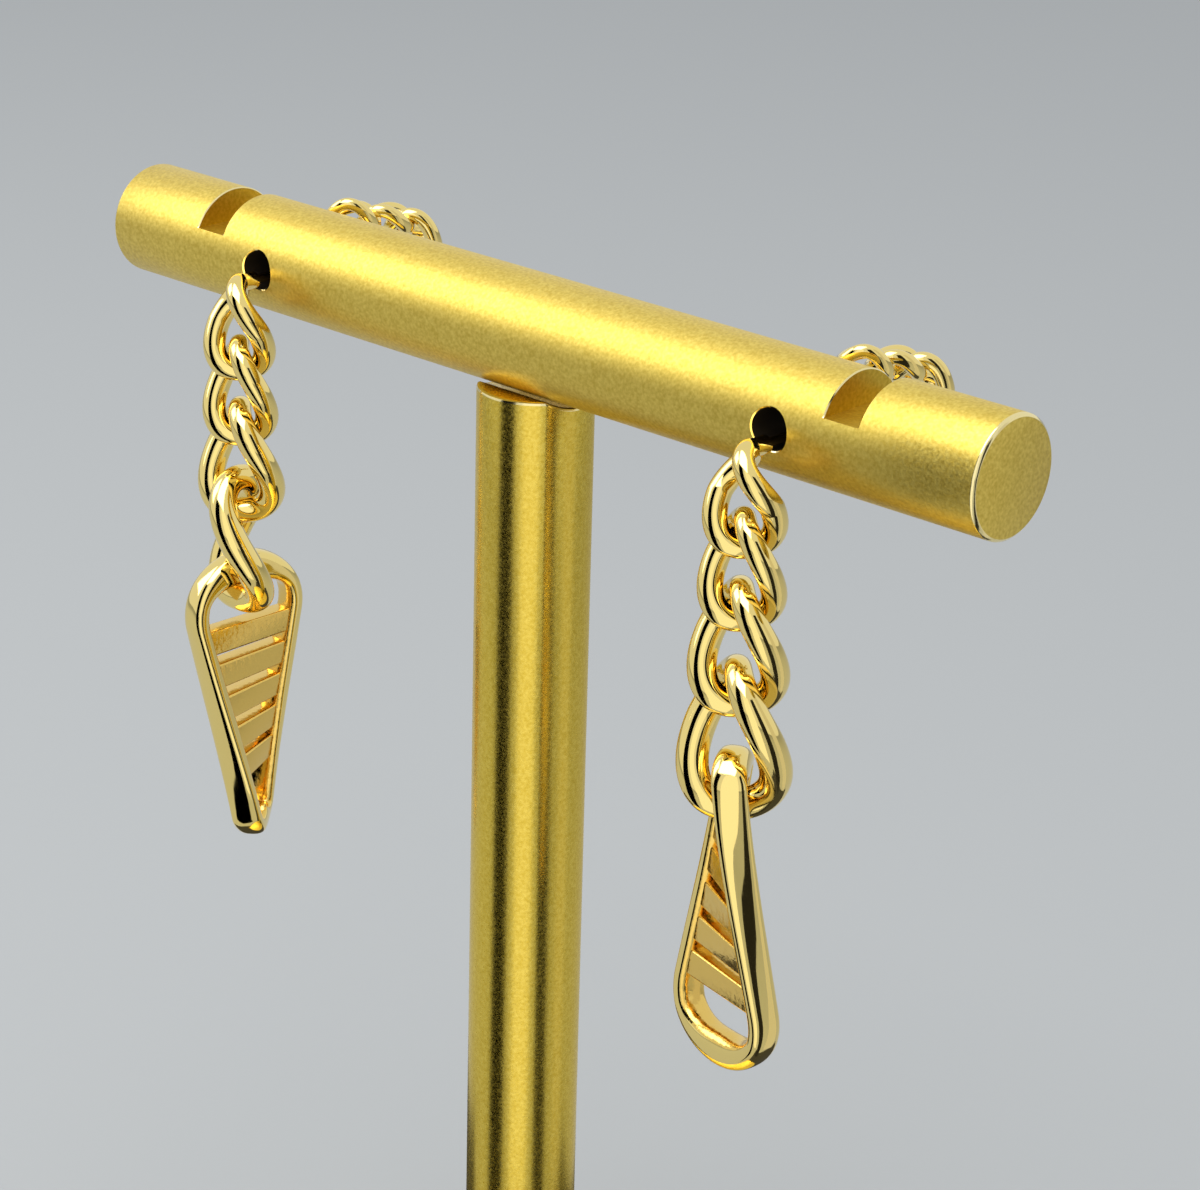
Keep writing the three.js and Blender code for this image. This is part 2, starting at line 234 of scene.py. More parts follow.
def evenly_along(line, share):
    """Points of a closed line at shares of its length."""
    run = np.r_[0, np.cumsum(np.linalg.norm(np.diff(line, axis=0), axis=1))]
    at = (np.asarray(share) % 1) * run[-1]
    return np.c_[[np.interp(at, run, line[:, k]) for k in range(3)]].T


def link_points(link, steps, sides, upper_twist=HALF_TWIST, lower_twist=HALF_TWIST):
    """A link's surface. Its wire is stouter at the sides than at the two bars."""
    line = link_line(link, upper_twist, lower_twist)
    around = np.arange(steps) / steps
    centre = evenly_along(line, around)
    along = unit(evenly_along(line, around + TANGENT_STEP) - evenly_along(line, around - TANGENT_STEP))
    outward = unit(centre - along * np.sum(centre * along, axis=1, keepdims=True))
    sideways = np.cross(outward, along)
    angle = (np.arange(sides) * 2 * math.pi / sides)[:, None]
    upper = centre[:, 2] > 0
    level = centre[:, 2] / bar_reach(link, upper)
    end_wire = np.where(upper, link["wire"], link["lower_wire"])
    radius = lerp(link["side_wire"], end_wire, level ** 2)[:, None, None]
    out = radius * power(np.cos(angle), 2 / WIRE_SQUARENESS)
    side = radius * power(np.sin(angle), 2 / WIRE_SQUARENESS)
    return centre[:, None] + outward[:, None] * out + sideways[:, None] * side


def link_shape(link):
    points = link_points(link, LINK_STEPS, WIRE_SIDES)
    return Shape().add(points, grid_faces(LINK_STEPS, WIRE_SIDES, close_rows=True))


def front_bar_heights(earring):
    """Heights of the upper bars of the front links, each hung in the link above it."""
    heights = [BAR["axis_height"] - earring["pin_drop"]]
    for link, below in zip(FRONT_LINKS, FRONT_LINKS[1:]):
        lower_bar = heights[-1] - (link["height"] - link["wire"] - link["lower_wire"])
        heights.append(lower_bar + link["lower_wire"] + below["wire"] + LINK_GAP)
    return heights


# ---- pendant ---------------------------------------------------------------
def drop_outline(share):
    """Two circles and their tangents: a point and its outward direction, from the narrow end round."""
    length, wide, narrow = PENDANT["length"], PENDANT["wide_radius"], PENDANT["narrow_radius"]
    wide_centre, narrow_centre = wide - length / 2, length / 2 - narrow
    slope = math.acos((wide - narrow) / (narrow_centre - wide_centre))
    side = math.sqrt((narrow_centre - wide_centre) ** 2 - (wide - narrow) ** 2)
    narrow_arc, wide_arc = narrow * slope, wide * (math.pi - slope)
    mirrored = share > 0.5
    run = (1 - share if mirrored else share) * 2 * (narrow_arc + side + wide_arc)
    if run < narrow_arc:
        turn, radius, centre = run / narrow, narrow, narrow_centre
    elif run < narrow_arc + side:
        part = (run - narrow_arc) / side
        turn, radius, centre = slope, lerp(narrow, wide, part), lerp(narrow_centre, wide_centre, part)
    else:
        turn, radius, centre = slope + (run - narrow_arc - side) / wide, wide, wide_centre
    normal = np.array([(-1 if mirrored else 1) * math.sin(turn), math.cos(turn)])
    return np.array([0, centre]) + radius * normal, normal


def twist_pendant(points):
    """Turns points of the flat pendant about its length."""
    share = np.clip(points[..., 2] / PENDANT["length"] + 0.5, 0, 1)
    angle = -PENDANT["twist"] * share ** PENDANT["twist_power"]
    x, y = points[..., 0], points[..., 1]
    turned = [x * np.cos(angle) - y * np.sin(angle), x * np.sin(angle) + y * np.cos(angle), points[..., 2]]
    return np.stack(turned, axis=-1)


def strand_width(height, normal):
    """Metal across the frame at a place on its outline."""
    share = height / PENDANT["length"] + 0.5
    neck = np.clip((share - NECK["start"]) / NECK["span"], 0, 1)
    side = lerp(PENDANT["side_strand"], PENDANT["neck_strand"], neck)
    end = PENDANT["narrow_strand"] if share > 0.5 else PENDANT["wide_strand"]
    return lerp(side, end, np.clip((abs(normal[1]) - END["start"]) / END["span"], 0, 1) ** END["power"])


def pendant_frame_points():
    angle = np.arange(PENDANT_SIDES) * 2 * math.pi / PENDANT_SIDES
    exponent = 2 / PENDANT["squareness"]
    rows = []
    for step in range(PENDANT_STEPS):
        point, normal = drop_outline(step / PENDANT_STEPS)
        share = point[1] / PENDANT["length"] + 0.5
        depth = lerp(PENDANT["wide_depth"], PENDANT["narrow_depth"], share)
        inset = strand_width(point[1], normal) / 2 * (power(np.cos(angle), exponent) - 1)
        flat = point + normal * inset[:, None]
        rows.append(np.c_[flat[:, 0], depth / 2 * power(np.sin(angle), exponent), flat[:, 1]])
    return twist_pendant(np.array(rows))


def half_width_at(height):
    """Half the frame's outer width at a height on its straight sides."""
    length, wide, narrow = PENDANT["length"], PENDANT["wide_radius"], PENDANT["narrow_radius"]
    sine = (wide - narrow) / (length - wide - narrow)
    return (wide - (height + length / 2 - wide) * sine) / math.sqrt(1 - sine * sine)


def rung_points(height):
    """A crossbar with rounded long edges, twisted with the frame. Its ends are inside the frame's sides."""
    corner = RUNG["corner"]
    reach = half_width_at(height) - PENDANT["neck_strand"] * RUNG["set_in"]
    half_depth, half_height = RUNG["depth"] / 2 - corner, RUNG["height"] / 2 - corner
    section = []
    for quarter, (dy, dz) in enumerate([(1, 1), (-1, 1), (-1, -1), (1, -1)]):
        for turn in np.linspace(0, math.pi / 2, RUNG_CORNER_POINTS) + quarter * math.pi / 2:
            y, z = corner * math.cos(turn), corner * math.sin(turn)
            section.append((dy * half_depth + y, dz * half_height + z))
    section = np.array(section)
    rows = [np.c_[np.full(len(section), x), section[:, 0], height + section[:, 1]]
            for x in np.linspace(-reach, reach, RUNG_STEPS)]
    return twist_pendant(np.array(rows))


def pendant_shape():
    """The frame, with its inner wall and the crossbars in the second finish, the gold painted darker as shade
    and reflection.
    """
    start, end = (PENDANT_SIDES * share for share in INNER_WALL)
    inner = [1 if start < j < end else 0 for j in range(PENDANT_SIDES)]
    shape = Shape().add(pendant_frame_points(), grid_faces(PENDANT_STEPS, PENDANT_SIDES, close_rows=True),
                        inner * PENDANT_STEPS)
    for height in RUNG["places"]:
        points = rung_points(height)
        rows, columns = points.shape[:2]
        ends = [tuple(range(columns)), tuple((rows - 1) * columns + j for j in range(columns))]
        shape.add(points, grid_faces(rows, columns) + ends, 1)
    return shape


# ---- stand -----------------------------------------------------------------
def base_shape():
    radius, edge, soft = BASE["radius"], BASE["edge"], BASE["edge_round"]
    socket, bevel = ROD_RADIUS + GAP, BASE["socket_edge"]
    top, floor = BASE["height"], BASE["height"] - BASE["socket_depth"]
    points = [(0, 0), (radius - edge, 0), (radius, edge), (radius, top - edge), (radius - edge, top),
              (socket + bevel, top), (socket, top - bevel), (socket, floor), (0, floor)]
    return turned_piece(points, [0, soft, soft, soft, soft, 0, 0, 0, 0], sides=ROD_SIDES)


def post_top_height(x, y):
    """The post's top: flat, with the saddle that the bar lies in."""
    saddle = ROD_RADIUS + GAP
    axis = BAR["axis_height"]
    return np.minimum(axis - POST_TOP_DROP, axis - np.sqrt(np.maximum(saddle ** 2 - y ** 2, 0)))


def post_shape(edge=0.25, edge_middle=0.3, rings=40):
    """The upright: rings across its top, a broken edge in the second finish, then its side and foot."""
    foot = BASE["height"] - BASE["socket_depth"] + GAP
    angle = np.arange(ROD_SIDES) * 2 * math.pi / ROD_SIDES
    circle = np.c_[np.cos(angle), np.sin(angle)]
    rows, finish = [], []

    def ring(radius, heights, number=None):
        rows.append(np.c_[circle * radius, np.broadcast_to(heights, ROD_SIDES)])
        if number is not None:
            finish.extend([number] * ROD_SIDES)

    for radius in np.linspace(0, ROD_RADIUS - edge, rings):
        ring(radius, post_top_height(*(circle * radius).T), 0 if radius else None)
    rim = post_top_height(*(circle * (ROD_RADIUS - edge)).T)
    ring(ROD_RADIUS - edge * edge_middle, rim - edge * edge_middle, 1)
    ring(ROD_RADIUS, rim - edge, 1)
    ring(ROD_RADIUS, foot + edge, 0)
    ring(ROD_RADIUS - edge, foot, 0)
    ring(0, foot, 0)
    return Shape().add(np.array(rows), grid_faces(len(rows), ROD_SIDES), finish)


FLOOR_ANGLE = math.acos(SLOT["floor"] / ROD_RADIUS)      # where a slot's floor meets the rod's surface
TOP_PARTS, SIDE_PARTS = 64, 28
HOLE_MARGIN = 3.0                                        # half the length of the patch round a hole
CHAMFER = 0.1                                            # the broken edge of holes and slots
MIDDLE_RINGS = 12                                        # rings from the bar's middle to the first patch
END_RINGS = 3                                            # rings that round the edge of the bar's end
END_STEEP, END_SHALLOW = 0.75, 0.12                      # shares of that edge, for the rings that round it
END_START = 0.02                                         # plain metal kept before that edge
HOLE_RINGS, WALL_RINGS = 9, 7


def bar_angles():
    """Angles round the bar from its top towards the front, with stations where the slots' floors end."""
    side = math.pi - 2 * FLOOR_ANGLE
    spans = [(-FLOOR_ANGLE, 2 * FLOOR_ANGLE, TOP_PARTS), (FLOOR_ANGLE, side, SIDE_PARTS),
             (math.pi - FLOOR_ANGLE, 2 * FLOOR_ANGLE, TOP_PARTS), (math.pi + FLOOR_ANGLE, side, SIDE_PARTS)]
    return np.concatenate([start + span * np.arange(parts) / parts for start, span, parts in spans])


def bar_row(x, radius=ROD_RADIUS, lip=0.0, floor=None):
    """One ring of the bar's surface. In a slot the top arc is cut down to the floor."""
    angle = bar_angles()
    top = np.arange(len(angle)) < TOP_PARTS
    inside = top & (np.arange(len(angle)) > 0)
    reach = np.where(inside, radius - lip, radius)
    y, z = -reach * np.sin(angle), reach * np.cos(angle)
    if floor is not None:
        z = np.where(top, np.minimum(z, floor), z)
    return np.c_[np.full(len(angle), x), y, z]


def bar_rows():
    """The rings from the middle of the bar to its right-hand end, and the finish of each band."""
    left_wall, right_wall = SLOT["distance"] - SLOT["width"] / 2, SLOT["distance"] + SLOT["width"] / 2
    end, edge = BAR["half_length"], BAR["edge"]
    # cut marks the slot's walls and floor, which take the satin painted darker as shade.
    plain, bright, cut = 0, 1, 2
    steep, shallow = edge * END_STEEP, edge * END_SHALLOW
    rows = [(bar_row(x), plain) for x in np.linspace(0, HOLE["distance"] - HOLE_MARGIN, MIDDLE_RINGS)]
    zone = np.linspace(-HOLE_MARGIN, HOLE_MARGIN, 2 * SIDE_PARTS + 1)[1:] + HOLE["distance"]
    rows += [(bar_row(x), plain) for x in zone]
    rows += [
        (bar_row(left_wall - CHAMFER), plain), (bar_row(left_wall, lip=CHAMFER), bright),
        (bar_row(left_wall, floor=SLOT["floor"]), cut), (bar_row(right_wall, floor=SLOT["floor"]), cut),
        (bar_row(right_wall, lip=CHAMFER), cut), (bar_row(right_wall + CHAMFER), bright),
        (bar_row(end - edge - END_START), plain), (bar_row(end - steep, ROD_RADIUS - shallow), bright),
        (bar_row(end - shallow, ROD_RADIUS - steep), bright), (bar_row(end, ROD_RADIUS - edge), bright),
    ]
    return rows


def hole_patch(front, boundary):
    """Rings from the patch's boundary in to a hole's broken edge and its wall's mouth."""
    x, y, z = boundary.T
    arc = ROD_RADIUS * np.arcsin(np.clip(z / ROD_RADIUS, -1, 1))
    bearing = np.arctan2(arc, x - HOLE["distance"])
    mouth = HOLE["radius"] + CHAMFER
    mouth_x = HOLE["distance"] + mouth * np.cos(bearing)
    mouth_arc = ROD_RADIUS * np.arcsin(mouth * np.sin(bearing) / ROD_RADIUS)
    sign = -1 if front else 1
    loops = []
    for share in np.linspace(0, 1, HOLE_RINGS):
        turn = lerp(arc, mouth_arc, share) / ROD_RADIUS
        surface_y, surface_z = sign * ROD_RADIUS * np.cos(turn), ROD_RADIUS * np.sin(turn)
        loops.append(np.c_[lerp(x, mouth_x, share), surface_y, surface_z])
    height = HOLE["radius"] * np.sin(bearing)
    depth = np.sqrt((ROD_RADIUS - CHAMFER) ** 2 - height ** 2)
    loops.append(np.c_[HOLE["distance"] + HOLE["radius"] * np.cos(bearing), sign * depth, height])
    return np.array(loops)


def bar_half(side):
    """Half of the bar, from its middle to one end."""
    rows = bar_rows()
    points = np.array([row for row, _ in rows])
    columns = points.shape[1]
    zone = range(MIDDLE_RINGS - 1, MIDDLE_RINGS - 1 + 2 * SIDE_PARTS)
    arcs = {True: range(TOP_PARTS, TOP_PARTS + SIDE_PARTS), False: range(2 * TOP_PARTS + SIDE_PARTS, columns)}
    faces, finish = [], []
    for index, face in enumerate(grid_faces(len(rows), columns)):
        i, j = divmod(index, columns)
        if i in zone and (j in arcs[True] or j in arcs[False]):
            continue
        faces.append(face)
        on_top, at_end = j < TOP_PARTS, i + 1 >= len(rows) - END_RINGS
        finish.append(rows[i + 1][1] if on_top or at_end else 0)
    shape = Shape().add(points, faces, finish)
    mouths = {}
    for front, arc in arcs.items():
        first, last = arc[0], (arc[-1] + 1) % columns
        down = [(zone[0] + k, first) for k in range(2 * SIDE_PARTS)]
        across = [(zone[-1] + 1, (first + k) % columns) for k in range(SIDE_PARTS)]
        up = [(zone[-1] + 1 - k, last) for k in range(2 * SIDE_PARTS)]
        back = [(zone[0], (first + SIDE_PARTS - k) % columns) for k in range(SIDE_PARTS)]
        boundary = np.array([points[i, j] for i, j in down + across + up + back])
        loops = hole_patch(front, boundary)
        bands = [0] * (len(loops) - 2) + [1]
        shape.add(loops, grid_faces(len(loops), len(boundary)), [n for n in bands for _ in boundary])
        bearing = np.arctan2(loops[-1][:, 2], loops[-1][:, 0] - HOLE["distance"])
        mouths[front] = loops[-1][np.argsort(bearing)]
    wall = np.array([lerp(mouths[True], mouths[False], share) for share in np.linspace(0, 1, WALL_RINGS)])
    # The hole's wall takes the fourth finish, the near-black painted shade.
    shape.add(wall, grid_faces(len(wall), wall.shape[1]), 3)
    shape.add(points[-1], [tuple(range(columns))], 0)
    shape.points = (np.array(shape.points) * [side, 1, 1]).tolist()
    return shape


def bar_shape():
    whole = Shape()
    for side in (-1, 1):
        half = bar_half(side)
        whole.add(half.points, half.faces, half.finish)
    return whole


# ---- ear post and back row -------------------------------------------------
def rod_along_y(shape, radius, start, end, sides=48, edge=0.08):
    """Adds a rod along Y with softened ends."""
    profile = [(0, start), (radius - edge, start), (radius, start + edge),
               (radius, end - edge), (radius - edge, end), (0, end)]
    rod = turned_shape(profile, sides, axis="Y")
    return shape.add(rod.points, rod.faces)


def post_link_shape(earring):
    """The top link with the pin and its collar, in the frame of the link's upper bar."""
    link = FRONT_LINKS[0]
    loop = link_points(link, LINK_STEPS, WIRE_SIDES, upper_twist=math.radians(earring["upper_twist"]))
    loop = loop + [0, 0, link["wire"] - link["height"] / 2]
    shape = Shape().add(loop, grid_faces(LINK_STEPS, WIRE_SIDES, close_rows=True))
    rod_along_y(shape, PIN["radius"], 0, PIN["end"] - earring["chain_front"])
    rod_along_y(shape, COLLAR["radius"], 0, COLLAR["end"] - earring["chain_front"])
    return shape


def back_row_places():
    """Where each link of the back row starts and ends: the middles of its two end bars."""
    start = np.array([0.0, BACK_START["back"], BACK_START["up"]])
    places = []
    for i, link in enumerate(BACK_LINKS):
        slope = math.radians(link["tilt"])
        along = np.array([0, math.cos(slope), math.sin(slope)])
        far = start + along * (link["height"] - 2 * link["wire"])
        places.append((link, slope, start, far))
        following = BACK_LINKS[min(i + 1, len(BACK_LINKS) - 1)]
        start = far - along * SOLDER_OVERLAP * (link["wire"] + following["wire"])
    return places


def back_row_shape(earring):
    """The sleeve that slides on the pin, with its row of links; Z is measured from the bar's axis."""
    shape = Shape()
    places = back_row_places()
    for link, slope, near, far in places:
        turn = np.array(Matrix.Rotation(slope - math.pi / 2, 3, "X"))
        loop = link_points(link, BACK_STEPS, BACK_SIDES, -HALF_TWIST, -HALF_TWIST)
        points = loop @ turn.T + (near + far) / 2
        shape.add(points, grid_faces(BACK_STEPS, BACK_SIDES, close_rows=True))
    drop, bore = -earring["pin_drop"], PIN["radius"] + GAP
    start, end, edge = SLEEVE["start"], SLEEVE["start"] + SLEEVE["length"], SLEEVE["edge"]
    outer = SLEEVE["radius"]
    profile = [(bore, start), (outer - edge, start), (outer, start + edge), (outer, end - edge),
               (outer - edge, end), (bore, end), (bore, start)]
    sleeve = turned_shape(profile, SLEEVE_SIDES, axis="Y")
    shape.add(np.array(sleeve.points) + [0, 0, drop], sleeve.faces)
    joint = places[0][3]
    foot, top, radius = drop + outer - STEM["sink"], joint[2], STEM["radius"]
    stem = turned_shape([(0, foot), (radius, foot), (radius, top), (0, top)], STEM_SIDES)
    shape.add(np.array(stem.points) + [0, joint[1], 0], stem.faces)
    return shape


# ---- finishes --------------------------------------------------------------
NOISE_SPAN = (0.3, 0.7)          # where nearly all of a noise texture's values lie


def new_material(name, colour, roughness, metallic=1.0):
    material = bpy.data.materials.new(name)
    material.use_nodes = True
    shader = material.node_tree.nodes["Principled BSDF"]
    shader.inputs["Base Color"].default_value = (*colour, 1)
    shader.inputs["Roughness"].default_value = roughness
    shader.inputs["Metallic"].default_value = metallic
    return material, shader


def add_noise(material, size_mm, detail=2.0):
    """A noise texture with features of about that size, on the object's own coordinates."""
    nodes, links = material.node_tree.nodes, material.node_tree.links
    coordinates = nodes.new("ShaderNodeTexCoord")
    noise = nodes.new("ShaderNodeTexNoise")
    noise.inputs["Scale"].default_value = 1 / (size_mm * MM)
    noise.inputs["Detail"].default_value = detail
    links.new(coordinates.outputs["Object"], noise.inputs["Vector"])
    return noise.outputs["Fac"]


def add_range(material, value, low, high):
    """Maps a noise value to a range."""
    node = material.node_tree.nodes.new("ShaderNodeMapRange")
    node.inputs["From Min"].default_value, node.inputs["From Max"].default_value = NOISE_SPAN
    node.inputs["To Min"].default_value = low
    node.inputs["To Max"].default_value = high
    material.node_tree.links.new(value, node.inputs["Value"])
    return node.outputs["Result"]


def add_colours(material, value, dark, light):
    """Maps a noise value to a colour between two."""
    ramp = material.node_tree.nodes.new("ShaderNodeValToRGB")
    ramp.color_ramp.elements[0].position, ramp.color_ramp.elements[1].position = NOISE_SPAN
    ramp.color_ramp.elements[0].color = (*dark, 1)
    ramp.color_ramp.elements[1].color = (*light, 1)
    material.node_tree.links.new(value, ramp.inputs["Fac"])
    return ramp.outputs["Color"]


def add_bump(material, shader, value, strength, depth_mm):
    bump = material.node_tree.nodes.new("ShaderNodeBump")
    bump.inputs["Strength"].default_value = strength
    bump.inputs["Distance"].default_value = depth_mm * MM
    material.node_tree.links.new(value, bump.inputs["Height"])
    material.node_tree.links.new(bump.outputs["Normal"], shader.inputs["Normal"])


def satin_gold(name, dark, light, roughness, grain_mm, strength=0.5, depth_mm=0.012):
    """Blasted metal: a fine grain in colour, gloss and height."""
    material, shader = new_material(name, light, roughness)
    links = material.node_tree.links
    specks, grain = add_noise(material, grain_mm * 1.5, 3), add_noise(material, grain_mm, 2)
    links.new(add_colours(material, specks, dark, light), shader.inputs["Base Color"])
    links.new(add_range(material, grain, roughness - 0.05, roughness + 0.07), shader.inputs["Roughness"])
    add_bump(material, shader, grain, strength, depth_mm)
    return material


def polished_gold(name, colour, roughness=0.045, wave_mm=1.6, haze_mm=0.5, strength=0.12, depth_mm=0.05):
    """Plated metal with a bright polish and a very slight waviness."""
    material, shader = new_material(name, colour, roughness)
    links = material.node_tree.links
    wave, haze = add_noise(material, wave_mm, 1), add_noise(material, haze_mm, 2)
    links.new(add_range(material, haze, roughness, roughness + 0.04), shader.inputs["Roughness"])
    add_bump(material, shader, wave, strength, depth_mm)
    return material


def inner_gold_painted_shade(name, colour, roughness, pit_mm=0.45, strength=0.5, depth_mm=0.05):
    """The inner walls: rougher and pitted where polishing doesn't reach, and coloured darker and more orange
    than the polish as painted shade and painted reflection of gold on gold.
    """
    material, shader = new_material(name, colour, roughness)
    links = material.node_tree.links
    pits = add_noise(material, pit_mm, 3)
    links.new(add_range(material, pits, roughness - 0.08, roughness + 0.12), shader.inputs["Roughness"])
    add_bump(material, shader, pits, strength, depth_mm)
    return material


SATIN = satin_gold("satin_gold", dark=(0.67, 0.475, 0.075), light=(0.86, 0.66, 0.145),
                   roughness=0.41, grain_mm=0.2)
SATIN_POST = satin_gold("satin_gold_post", dark=(0.70, 0.49, 0.055), light=(0.86, 0.64, 0.11),
                        roughness=0.23, grain_mm=0.2, strength=0.4)
BRIGHT_EDGE = polished_gold("bright_edge", (0.95, 0.80, 0.38), roughness=0.12)
# The slot's walls and floor: a coarser grain, and a darker, more orange copy of the satin colour as painted
# shade in the recess.
SLOT_PAINTED_SHADE = satin_gold("slot_painted_shade", dark=(0.58, 0.38, 0.03), light=(0.76, 0.54, 0.07),
                       roughness=0.38, grain_mm=0.22, strength=0.7)
# Painted shade: the wall inside each hole through the bar is coloured near-black to stand in for the shade in
# the hole.
HOLE_WALL_PAINTED_SHADE, _ = new_material("hole_wall_painted_shade", (0.02, 0.012, 0.004), roughness=0.6, metallic=0.3)
POLISHED = polished_gold("polished_gold", (0.95, 0.74, 0.26))
INNER_GOLD_PAINTED_SHADE = inner_gold_painted_shade("inner_gold_painted_shade", (0.88, 0.60, 0.15), roughness=0.13)


# ---- assembly --------------------------------------------------------------
def stand_in_for(piece, node, body=STAND_BODY):
    """The piece takes the place of a solid, with its body."""
    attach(piece, body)
    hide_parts(node)
    return piece


def move(x=0.0, y=0.0, z=0.0):
    return Matrix.Translation((x, y, z))


def build_stand():
    stand_in_for(base_shape().piece("base_disc", [SATIN]), "stand_base")
    stand_in_for(post_shape().piece("upright_post", [SATIN_POST, BRIGHT_EDGE]), "stand_post")
    finishes = [SATIN, BRIGHT_EDGE, SLOT_PAINTED_SHADE, HOLE_WALL_PAINTED_SHADE]
    bar = bar_shape().piece("crossbar", finishes, move(z=BAR["axis_height"]))
    stand_in_for(bar, "stand_bar")


def last_link_place(link, hang, upper_bar):
    """Turns and leans the last link in the link above; returns its place and its lower bar's place."""
    reach = link["height"] - link["wire"] - link["lower_wire"]
    top = Vector((hang["aside"], hang["lean"], upper_bar + hang["lift"]))
    bottom = Vector((hang["aside"], 0, top.z - math.sqrt(reach ** 2 - hang["lean"] ** 2)))
    upward = (top - bottom).normalized()
    lean = Vector((0, 0, 1)).rotation_difference(upward).to_matrix().to_4x4()
    spin = Matrix.Rotation(math.radians(hang["turn"]), 4, "Z")
    return Matrix.Translation(top + upward * (link["wire"] - link["height"] / 2)) @ lean @ spin, bottom


def pendant_place(lower_bar, hang):
    """Hangs the pendant with its end's metal just above the last link's lower bar."""
    end = PENDANT["wide_strand"] if hang["wide_end_up"] else PENDANT["narrow_strand"]
    top = lower_bar.z + FRONT_LINKS[-1]["lower_wire"] + GAP + end
    spin, lean = math.radians(hang["turn"]), math.radians(hang["tilt"])
    turn = Matrix.Rotation(spin, 4, "Z") @ Matrix.Rotation(lean, 4, "Y") @ move(z=-PENDANT["length"] / 2)
    flip = Matrix.Rotation(math.pi if hang["wide_end_up"] else 0, 4, "X")
    return move(x=lower_bar.x + hang["aside"], z=top) @ turn @ flip


def build_earring(earring):
    name = earring["name"]
    hang = move(earring["side"] * HOLE["distance"], earring["chain_front"])
    heights = front_bar_heights(earring)
    top = post_link_shape(earring).piece(f"{name}_ear_post_and_link", [POLISHED], hang @ move(z=heights[0]))
    stand_in_for(top, f"{name}_post_link")
    for i, link in list(enumerate(FRONT_LINKS))[1:]:
        place = move(z=heights[i] + link["wire"] - link["height"] / 2)
        if i == len(FRONT_LINKS) - 1:
            place, lower_bar = last_link_place(link, earring["last_link"], heights[i])
        piece = link_shape(link).piece(f"{name}_link_{i + 1}", [POLISHED], hang @ place)
        stand_in_for(piece, f"{name}_chain_link_{i + 1}")
    place = hang @ pendant_place(lower_bar, earring["pendant"])
    pendant = pendant_shape().piece(f"{name}_drop", [POLISHED, INNER_GOLD_PAINTED_SHADE], place)
    stand_in_for(pendant, f"{name}_pendant", f"{name}_pendant_body")
    place = move(earring["side"] * HOLE["distance"], 0, BAR["axis_height"])
    back = back_row_shape(earring).piece(f"{name}_back_links", [POLISHED], place)
    stand_in_for(back, f"{name}_back_row")


build_stand()
for each in EARRINGS:
    build_earring(each)

# ---- camera ----------------------------------------------------------------
CAMERA = {
    "place": (181.61, -191.39, 196.84), "yaw": 0.73699, "pitch": 0.37947, "roll": 0.02780, "lens": 99.06,
}


def build_camera():
    yaw, pitch, roll = CAMERA["yaw"], CAMERA["pitch"], CAMERA["roll"]
    ahead = Vector((-math.sin(yaw) * math.cos(pitch), math.cos(yaw) * math.cos(pitch), -math.sin(pitch)))
    level = Vector((math.cos(yaw), math.sin(yaw), 0))
    upright = level.cross(ahead)
    right = level * math.cos(roll) + upright * math.sin(roll)
    up = upright * math.cos(roll) - level * math.sin(roll)
    camera = bpy.data.objects.new("camera", bpy.data.cameras.new("camera"))
    camera.data.lens, camera.data.sensor_width = CAMERA["lens"], SENSOR_MM
    camera.data.clip_start, camera.data.clip_end = 0.01, 50
    camera.matrix_world = Matrix.Translation(Vector(CAMERA["place"]) * MM) @ Matrix(
        (right, up, -ahead)).transposed().to_4x4()
    bpy.context.scene.collection.objects.link(camera)
    bpy.context.scene.camera = camera


# ---- floor and light -------------------------------------------------------
# Lengths here are in metres, as Blender's are.
CARD_LIFT = 0.0004               # clear of the floor
FLOOR_COLOUR = (0.405, 0.415, 0.415)
SKY_COLOUR = (0.93, 0.96, 1.0)
LIGHT_TARGET_HEIGHT = 0.09       # near the middle of the earrings
# Painted shadow: a dark card under the bar that only reflections show, standing in for the stand's shadow on
# the floor.
UNDER_SHADOW_CARD = {"left": -0.08, "right": 0.06, "front": -0.03, "back": 0.06}


def build_floor(size=6.0):
    shape = Shape().add([[-1, -1, 0], [1, -1, 0], [1, 1, 0], [-1, 1, 0]], [(0, 1, 2, 3)])
    shape.points = (np.array(shape.points) * size / 2 / MM).tolist()
    material, shader = new_material("pale_floor", FLOOR_COLOUR, 0.9, 0.0)
    shader.inputs["Specular IOR Level"].default_value = 0.0
    shape.piece("floor", [material])


def add_area_light(name, azimuth, elevation, distance, width, height, strength, colour=(1, 1, 1)):
    """A soft box that faces the earrings. Azimuth 0 is in front (-Y) and 90 is to the right (+X)."""
    a, e = math.radians(azimuth), math.radians(elevation)
    towards = Vector((math.sin(a) * math.cos(e), -math.cos(a) * math.cos(e), math.sin(e)))
    light = bpy.data.lights.new(name, "AREA")
    light.shape, light.size, light.size_y = "RECTANGLE", width, height
    light.energy, light.color = strength, colour
    holder = bpy.data.objects.new(name, light)
    holder.location = Vector((0, 0, LIGHT_TARGET_HEIGHT)) + towards * distance
    holder.rotation_euler = towards.to_track_quat("Z", "Y").to_euler()
    bpy.context.scene.collection.objects.link(holder)


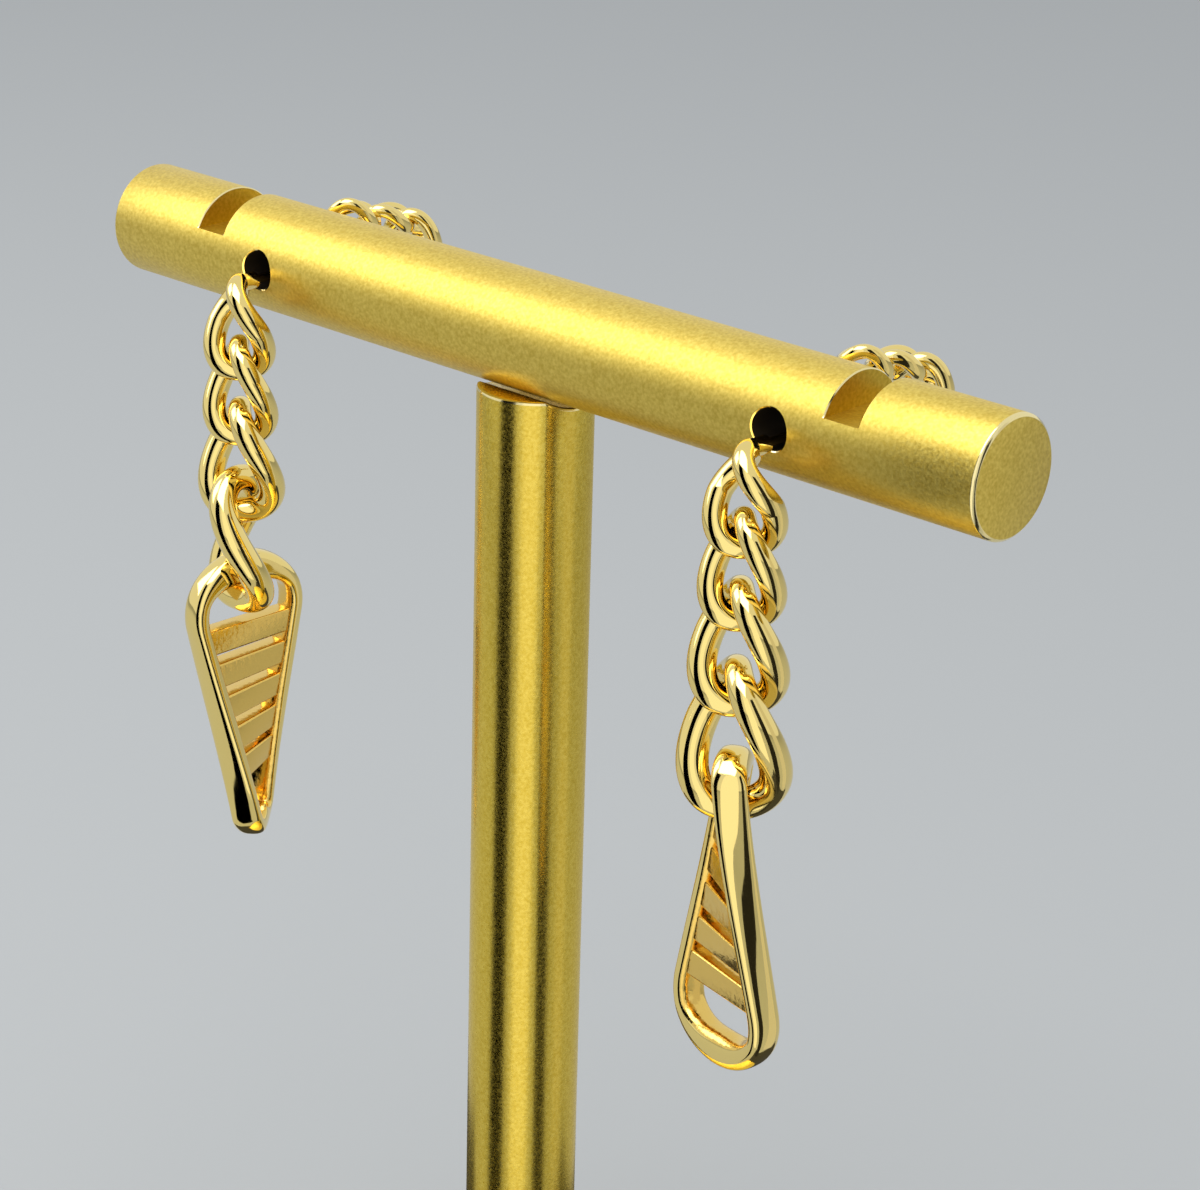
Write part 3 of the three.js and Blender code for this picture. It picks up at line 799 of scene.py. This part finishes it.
def add_slice_card(name, azimuth, spread, shade, near=0.05, far=0.45, top=0.5):
    """A card that lies on the floor like a slice and then stands up."""
    corners = []
    for radius, height in ((near, CARD_LIFT), (far, CARD_LIFT), (far, top)):
        for turn in (azimuth - spread / 2, azimuth + spread / 2):
            a = math.radians(turn)
            corners.append((math.sin(a) * radius, -math.cos(a) * radius, height))
    add_card(name, corners, [(0, 1, 3, 2), (2, 3, 5, 4)], shade)


def add_card(name, corners, faces, shade):
    """A studio card that only reflections show."""
    material = bpy.data.materials.new(name)
    material.use_nodes = True
    nodes = material.node_tree.nodes
    nodes.remove(nodes["Principled BSDF"])
    glow = nodes.new("ShaderNodeEmission")
    glow.inputs["Color"].default_value = (shade, shade, shade, 1)
    material.node_tree.links.new(glow.outputs["Emission"], nodes["Material Output"].inputs["Surface"])
    card = Shape().add(np.array(corners) / MM, faces).piece(name, [material])
    for rays in ("camera", "diffuse", "shadow", "transmission", "volume_scatter"):
        setattr(card, f"visible_{rays}", False)


def build_world(strength=0.85):
    world = bpy.data.worlds.new("studio")
    bpy.context.scene.world = world
    world.use_nodes = True
    background = world.node_tree.nodes["Background"]
    background.inputs["Color"].default_value = (*SKY_COLOUR, 1)
    background.inputs["Strength"].default_value = strength


bpy.context.scene.view_settings.view_transform = "Standard"
build_camera()
build_floor()
build_world()
CAMERA_AZIMUTH = math.degrees(CAMERA["yaw"])
add_area_light("top_box", azimuth=10, elevation=70, distance=0.7, width=0.6, height=0.6, strength=3.3)
add_area_light("left_box", azimuth=-60, elevation=35, distance=0.8, width=0.4, height=0.5, strength=1.7)
add_slice_card("dark_card_left", CAMERA_AZIMUTH - 52, spread=30, shade=0.0)
add_slice_card("bright_card", CAMERA_AZIMUTH - 6, spread=34, shade=1.1, near=0.07)
add_slice_card("dark_card_right", CAMERA_AZIMUTH + 38, spread=22, shade=0.02)
add_slice_card("bright_card_right", CAMERA_AZIMUTH + 74, spread=20, shade=0.65, near=0.07)
# The dark card under the bar: painted shadow, seen only in reflections.
under = [(UNDER_SHADOW_CARD[side], UNDER_SHADOW_CARD[end], CARD_LIFT)
         for side, end in (("left", "front"), ("right", "front"), ("right", "back"), ("left", "back"))]
add_card("painted_shadow_card_under", under, [(0, 1, 2, 3)], shade=0.06)
